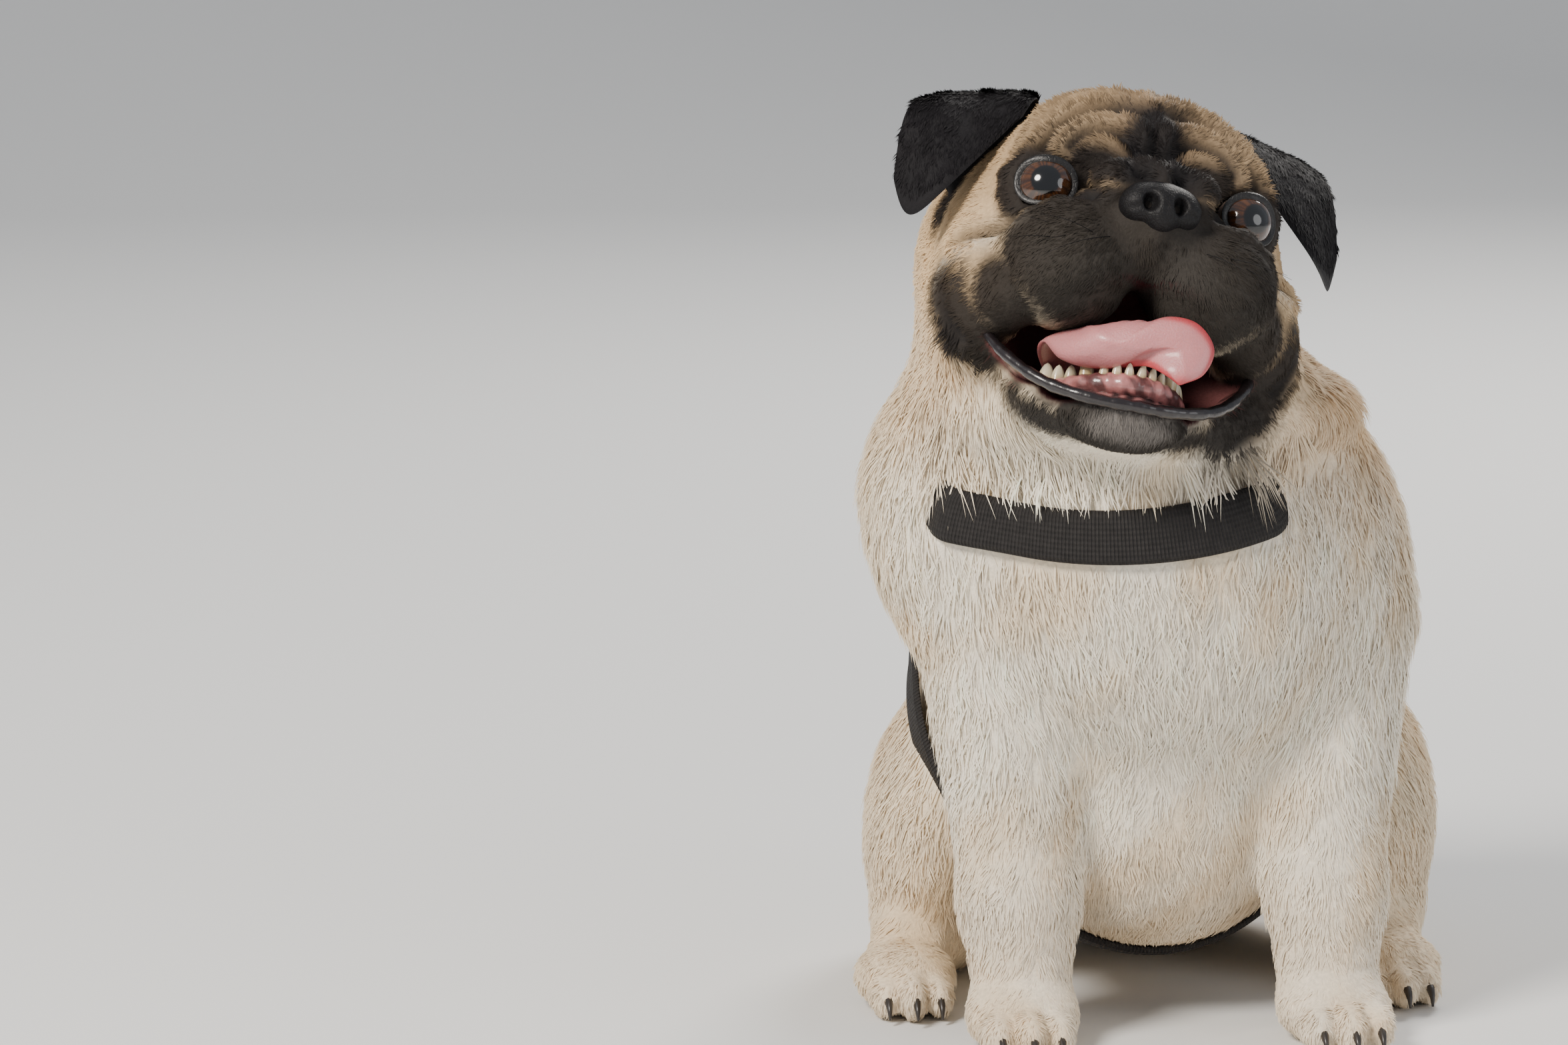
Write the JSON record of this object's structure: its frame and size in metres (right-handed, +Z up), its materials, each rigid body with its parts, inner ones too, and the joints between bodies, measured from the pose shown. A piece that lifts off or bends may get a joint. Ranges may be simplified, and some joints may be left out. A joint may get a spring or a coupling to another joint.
{
  "type": "seated pug",
  "caption": "Still, life-size model of a seated pug looking up with its mouth open, in a webbing harness with a ring.",
  "frame": {"origin": "middle of the model's bounding box, on the floor under its feet", "axes": "+Z up, the pug faces -Y and its left side is +X"},
  "size_m": [0.2724, 0.3414, 0.3934],
  "materials": {
    "coat_cream": "short cream fur",
    "coat_fawn": "short fawn fur",
    "coat_black": "short black fur",
    "eye": "wet, very glossy",
    "nose_leather": "damp, fine-grained",
    "tongue": "wet satin",
    "webbing": "woven, ribbed",
    "ring": "satin"
  },
  "bodies": {
    "root": {"back_strap": "webbing", "ear_left": "coat_black", "ear_right": "coat_black", "eye_left": "eye", "eye_right": "eye", "fore_paw_left": "coat_cream", "fore_paw_right": "coat_cream", "foreleg_left": "coat_cream", "foreleg_right": "coat_cream", "girth_strap": "webbing", "harness_ring": "ring", "head": "coat_black", "hind_paw_left": "coat_fawn", "hind_paw_right": "coat_fawn", "lower_jaw": "coat_black", "neck": "coat_fawn", "neck_band": "webbing", "nose": "nose_leather", "tail": "coat_fawn", "thigh_left": "coat_fawn", "thigh_right": "coat_fawn", "tongue": "tongue", "torso": "coat_cream"}
  },
  "joints": []
}
